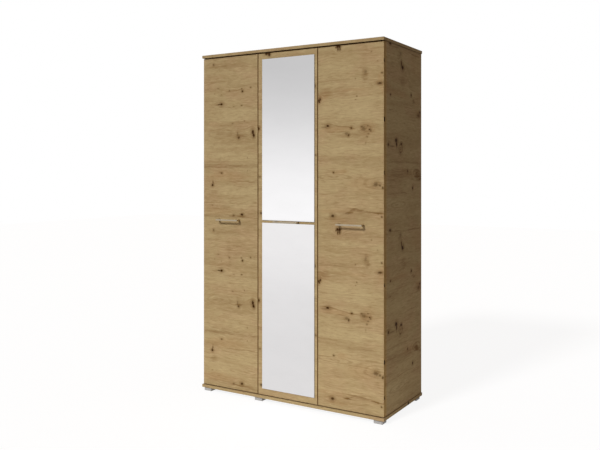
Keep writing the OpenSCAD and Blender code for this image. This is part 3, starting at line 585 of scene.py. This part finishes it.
def chipboard(t):
    """Colour of sawn chipboard: pale flakes with dark specks."""
    flakes = t.add("ShaderNodeTexVoronoi", {"Vector": t.place(), "Scale": 620, "Randomness": 1})
    flake = t.split(flakes.outputs["Color"])[0]
    colour = t.mix(t.ramp(flake, 0.1, 0.9), srgb(*CHIP), srgb(*CHIP_PALE))
    speck = t.ramp(t.noise(t.place(), 900, 2, 0.6), 0.58, 0.72, 0, 0.6)
    return t.mix(speck, colour, srgb(*CHIP_DARK))


# ------------------------------------------------------------------ other materials

# Waves per metre, times 2 pi, of the screen pattern on the back of hardboard
SCREEN = 3900
# Stretch of the marks on metal, across and along the brushing, and where it isn't brushed
BRUSHED_ACROSS, BRUSHED_ALONG, PLATED = 1400, 18, 260
# sRGB browns of painted shade in the hollows of metal, and on cup ends that lie in a door's edge
HOLLOW_SHADE_BROWN = (50, 36, 18)
END_SHADE_BROWN = (92, 66, 32)


def hardboard():
    """White lacquered face inside, raw brown pressed fibre with a screen pattern outside."""
    t = material("hardboard")
    p = t.place()
    x, _, z = t.split(p)
    back = t.ramp(t.normal()[Y], 0.4, 0.6)
    fibre = t.noise(p, 420, 4, 0.65)
    blotch = t.noise(p, 7, 3, 0.6)
    brown = t.mix(t.ramp(fibre, 0.35, 0.7), srgb(148, 114, 80), srgb(180, 146, 106))
    brown = t.mix(t.ramp(blotch, 0.4, 0.7, 0, 0.35), brown, srgb(134, 102, 70))
    white = t.mix(t.ramp(blotch, 0.3, 0.8, 0, 0.4), srgb(226, 224, 218), srgb(214, 211, 203))
    weave = t.times(t.math("SINE", t.times(x, SCREEN)), t.math("SINE", t.times(z, SCREEN)))
    height = t.plus(t.times(t.times(weave, back), 0.5), fibre)
    rough = t.ramp(back, 0, 1, 0.38, 0.85, smooth=False)
    return t.finish(t.principled(Base_Color=t.mix(back, white, brown), Roughness=rough,
                                 Normal=t.bump(height, 0.15, 0.0005), Specular_IOR_Level=0.35))


def plastic(name, base, dark, roughness):
    """Moulded plastic with a fine spark-eroded grain and a little dust."""
    t = material(name)
    p = t.place()
    grain = t.noise(p, 900, 3, 0.6)
    dust = t.noise(p, 22, 3, 0.6)
    colour = t.mix(t.ramp(dust, 0.40, 0.75, 0, 0.5), srgb(*base), srgb(*dark))
    rough = t.ramp(grain, 0.3, 0.7, roughness - 0.06, roughness + 0.10)
    return t.finish(t.principled(Base_Color=colour, Roughness=rough, Specular_IOR_Level=0.45,
                                 Normal=t.bump(grain, 0.12, 0.0003)))


def metal(name, base, dark, roughness, brushed=None, spread=0.08, depth=0.92, ends=()):
    """Plated or brushed metal, with painted shade, brown, in narrow hollows.

    brushed is the axis along which the brushing runs, and spread is how far roughness varies.
    depth is how dark the painted shade in the hollows is. ends are the X of end faces that get
    brown painted shade."""
    t = material(name)
    p = t.place()
    marks = [PLATED] * 3
    if brushed is not None:
        marks = [BRUSHED_ACROSS] * 3
        marks[brushed] = BRUSHED_ALONG
    streak = t.noise(t.stretch(p, *marks), 1, 3, 0.6)
    cloud = t.noise(p, 35, 3, 0.6)
    colour = t.mix(t.ramp(streak, 0.35, 0.68), srgb(*base), srgb(*dark))
    # Painted shade, brown, where another face is within 20 mm, as in narrow hollows
    hollow = t.ramp(t.openness(0.020), 0.10, 0.80, depth, 0)
    colour = t.mix(hollow, colour, srgb(*HOLLOW_SHADE_BROWN))
    # Painted shade, brown, on the end faces at the X in ends
    for end in ends:
        off = t.apart(t.split(p)[X], end)
        colour = t.mix(t.ramp(off, 0.002, 0.003, 1, 0), colour, srgb(*END_SHADE_BROWN))
    rough = t.plus(t.ramp(streak, 0.3, 0.7, roughness - spread, roughness + spread),
                   t.ramp(cloud, 0.35, 0.7, 0, 0.06))
    return t.finish(t.principled(Base_Color=colour, Metallic=1.0, Roughness=rough,
                                 Normal=t.bump(streak, 0.10, 0.0002)))


def mirror():
    """Silvered glass: a clear reflection in front, and greenish ground glass elsewhere."""
    t = material("mirror_glass")
    p = t.place()
    front = t.ramp(t.times(t.normal()[Y], -1), 0.5, 0.7)
    wipe = t.noise(t.stretch(p, 1, 1, 2.2), 2.6, 4, 0.6)
    tint = t.mix(t.ramp(wipe, 0.3, 0.8), srgb(250, 249, 250), srgb(246, 245, 246))
    silver = t.principled(Base_Color=tint, Metallic=1.0,
                          Roughness=t.ramp(wipe, 0.35, 0.75, 0.012, 0.035))
    grit = t.ramp(t.noise(p, 1500, 2, 0.6), 0.3, 0.7)
    edge = t.principled(Base_Color=t.mix(grit, srgb(186, 196, 190), srgb(212, 220, 215)),
                        Roughness=0.32, Specular_IOR_Level=0.6)
    return t.finish(t.mix_shader(front, edge, silver))


def beech():
    """Turned beech, with its grain upright."""
    t = material("beech_dowel")
    streak = t.noise(t.stretch(t.place(), 900, 900, 30), 1, 3, 0.6)
    colour = t.mix(t.ramp(streak, 0.3, 0.7), srgb(208, 170, 122), srgb(180, 138, 92))
    return t.finish(t.principled(Base_Color=colour, Roughness=0.6,
                                 Normal=t.bump(streak, 0.2, 0.0004)))


# ------------------------------------------------------------------ materials on the nodes

# Names of the doors, and of the feet in each row
LEFT_TO_RIGHT = ("left", "middle", "right")
DOOR_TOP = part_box("left_door")[1][Z]
SIDE_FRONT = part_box("right_side_panel")[0][Y]
# Middles of the gaps between the doors, and the edges on which the doors are hinged
JOINTS = [(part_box(a)[1][X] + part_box(b)[0][X]) / 2
          for a, b in (("left_door", "middle_door"), ("middle_door", "right_door"))]
HINGE_EDGES = [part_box("left_door")[0][X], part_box("middle_door")[0][X],
               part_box("right_door")[1][X]]
# Axis and sign of the normal of rear faces
REAR = (Y, 1)


def dress(surface, *names):
    """Gives the named nodes one material in place of their own."""
    for name in names:
        materials = NODES[name].data.materials
        materials.clear()
        materials.append(surface)


def each_door(piece):
    """Names of a piece that every door has."""
    return [f"{side}_{piece}" for side in LEFT_TO_RIGHT]


def dress_boards():
    dress(oak("oak_left_door", X, Z, LEFT_DESIGN, offset=1.3, tone=0.98, seams=JOINTS),
          "left_door")
    dress(oak("oak_middle_door", X, Z, MIDDLE_DESIGN, offset=5.1, seams=JOINTS),
          "middle_door")
    dress(oak("oak_right_door", X, Z, RIGHT_DESIGN, offset=2.2, seams=JOINTS,
              edge_knots=((1.592, 0.014), (0.324, 0.013))),
          "right_door")
    dress(oak("oak_right_side", Y, Z, SIDE_DESIGN, offset=8.4, chip=REAR, front=SIDE_FRONT),
          "right_side_panel")
    dress(oak("oak_left_side", Y, Z, SIDE_DESIGN, offset=9.6, chip=REAR, front=SIDE_FRONT),
          "left_side_panel")
    dress(oak("oak_divider", Y, Z, PLAIN_DESIGN, offset=10.2, chip=REAR),
          "divider_panel")
    dress(oak("oak_top", X, Y, PLAIN_DESIGN, offset=6.3, tone=0.94, chip=REAR, reach=0.030),
          "top_panel")
    dress(oak("oak_bottom", X, Y, PLAIN_DESIGN, offset=3.9, tone=0.96, chip=REAR, reach=0.030,
              edge_knots=((0.072, 0.011),)),
          "bottom_panel")
    dress(oak("oak_shelves", X, Y, PLAIN_DESIGN, offset=7.7, chip=REAR),
          "left_shelf_1", "left_shelf_2", "left_shelf_3", "left_shelf_4", "hat_shelf")
    dress(hardboard(), "back_panel_left", "back_panel_middle", "back_panel_right")
    dress(beech(), "dowels")


def dress_fittings():
    zinc = ((200, 202, 204), (172, 175, 178), 0.34)
    nickel = ((214, 211, 204), (190, 186, 178), 0.20)
    dress(plastic("white_strip", (228, 226, 220), (212, 209, 202), 0.42), "back_joining_strip")
    dress(plastic("foot_plastic", (172, 172, 171), (150, 148, 144), 0.42),
          *[f"foot_{row}_{side}" for row in ("front", "rear") for side in LEFT_TO_RIGHT])
    dress(metal("zinc_plate", *zinc), "back_nails", "cam_housings", "cam_bolts", "foot_screws",
          "rail_cup_screws", "hinge_plates", *each_door("handle_screws"))
    # The cups' open ends, flush with the doors' hinge edges, get brown painted shade, as dark as a
    # shaded gap beside the edge band
    dress(metal("cup_zinc", *zinc, ends=HINGE_EDGES), *each_door("hinge_cups"))
    dress(metal("nickel_plate", *nickel, spread=0.05), "shelf_pins", "rail_end_cups",
          "hinge_plate_screws", "hinge_arm_screws", *each_door("hinge_pins"),
          *each_door("cup_screws"), *each_door("hinge_arms"))
    dress(metal("rail_steel", (214, 212, 208), (192, 189, 183), 0.22, brushed=X, spread=0.06),
          "clothes_rail")
    dress(metal("satin_handle", (190, 178, 156), (168, 156, 135), 0.36, brushed=X, depth=0.2),
          *each_door("handle"))
    dress(mirror(), "upper_mirror", "lower_mirror")


# ------------------------------------------------------------------ studio

WHITE = (1, 1, 1, 1)
FLOOR_HALF = 14.0
# The floor's own light to the camera, and in reflections close by and far off
FLOOR_GLOW, MIRRORED_NEAR, MIRRORED_FAR = 0.88, 0.64, 0.78
# The floor bounces most light at this place, which lies in front of the object
BOUNCE_PLACE = (-0.4, -1.1, 0.0)
BOUNCE_COLOUR = (0.92, 0.91, 0.90)
SHADOW_GREY = (0.155, 0.155, 0.155, 1)
FILL_COLOUR = (1.0, 0.86, 0.775, 1)
FILL_STRENGTH = 0.352
SUN_ENERGY = 2.17
SUN_WIDTH = 10  # degrees
SUN_DIRECTION = (0.22, 1.0, -0.74)
# A level camera, with its picture shifted down instead of the camera tilted
CAMERA_PLACE = (2.1727, -3.6888, 1.3079)
CAMERA_AZIMUTH = 31.216  # degrees
CAMERA_SENSOR = 36
CAMERA_LENS = 43.405
CAMERA_SHIFT = -0.0856


def new_object(name, data):
    obj = bpy.data.objects.new(name, data)
    bpy.context.scene.collection.objects.link(obj)
    return obj


def floor():
    """Pale floor. To the camera and in reflections it glows, up to white where it is lit, so it
    keeps the object's shadow. What lights the object is a matte floor without the glow."""
    mesh = bpy.data.meshes.new("studio_floor")
    s = FLOOR_HALF
    mesh.from_pydata([(-s, -s, 0), (s, -s, 0), (s, s, 0), (-s, s, 0)], [], [(0, 1, 2, 3)])
    obj = new_object("studio_floor", mesh)
    t = material("studio_floor")
    path = t.add("ShaderNodeLightPath").outputs
    mirrored = t.larger(path["Is Glossy Ray"], path["Is Transmission Ray"])
    seen = t.larger(path["Is Camera Ray"], mirrored)
    far = t.ramp(t.vec("LENGTH", t.place()), 0.3, 9.0, MIRRORED_NEAR, MIRRORED_FAR)
    strength = t.times_plus(mirrored, t.minus(far, FLOOR_GLOW), FLOOR_GLOW)
    off = t.vec("LENGTH", t.vec("SUBTRACT", t.place(), BOUNCE_PLACE))
    bounce = t.vec("SCALE", BOUNCE_COLOUR, scale=t.ramp(off, 0.6, 3.6, 1.0, 0.12))
    matte = t.add("ShaderNodeBsdfDiffuse", {"Color": bounce}).outputs[0]
    pale = t.add("ShaderNodeBsdfDiffuse", {"Color": SHADOW_GREY}).outputs[0]
    glow = t.add("ShaderNodeEmission", {"Color": WHITE, "Strength": strength}).outputs[0]
    both = t.add("ShaderNodeAddShader")
    t.set(both.inputs[0], pale)
    t.set(both.inputs[1], glow)
    obj.data.materials.append(t.finish(t.mix_shader(seen, matte, both.outputs[0])))


def world():
    """White to the camera, a soft even fill for matte surfaces, and for gloss a pale room that
    darkens upwards and towards the back."""
    studio = bpy.data.worlds.new("studio")
    bpy.context.scene.world = studio
    t = Tree(studio, "ShaderNodeOutputWorld")

    def backdrop(colour, strength=1.0):
        inputs = {"Color": colour, "Strength": strength}
        return t.add("ShaderNodeBackground", inputs).outputs[0]

    path = t.add("ShaderNodeLightPath").outputs
    toward = t.split(t.add("ShaderNodeTexCoord").outputs["Generated"])
    height = t.ramp(toward[Z], -0.06, 0.16, 1.0, 0.60)
    front = t.ramp(toward[Y], -0.35, 0.25, 1.0, 0.40)
    room = backdrop(t.times(height, front))
    fill = backdrop(FILL_COLOUR, FILL_STRENGTH)
    unseen = t.mix_shader(path["Is Glossy Ray"], fill, room)
    direct = t.larger(path["Is Camera Ray"], path["Is Transmission Ray"])
    t.finish(t.mix_shader(direct, unseen, backdrop(WHITE)))


def key_light():
    """A broad soft sun from the front left, above."""
    data = bpy.data.lights.new("key", "SUN")
    data.energy = SUN_ENERGY
    data.angle = math.radians(SUN_WIDTH)
    obj = new_object("key", data)
    obj.rotation_euler = Vector(SUN_DIRECTION).to_track_quat("-Z", "Y").to_euler()


def camera():
    data = bpy.data.cameras.new("camera")
    data.sensor_width = CAMERA_SENSOR
    data.lens = CAMERA_LENS
    data.shift_y = CAMERA_SHIFT
    data.clip_end = 60
    obj = new_object("camera", data)
    obj.location = CAMERA_PLACE
    obj.rotation_euler = (math.radians(90), 0, math.radians(CAMERA_AZIMUTH))
    bpy.context.scene.camera = obj


dress_boards()
dress_fittings()
floor()
world()
key_light()
camera()
bpy.context.scene.view_settings.view_transform = "Standard"
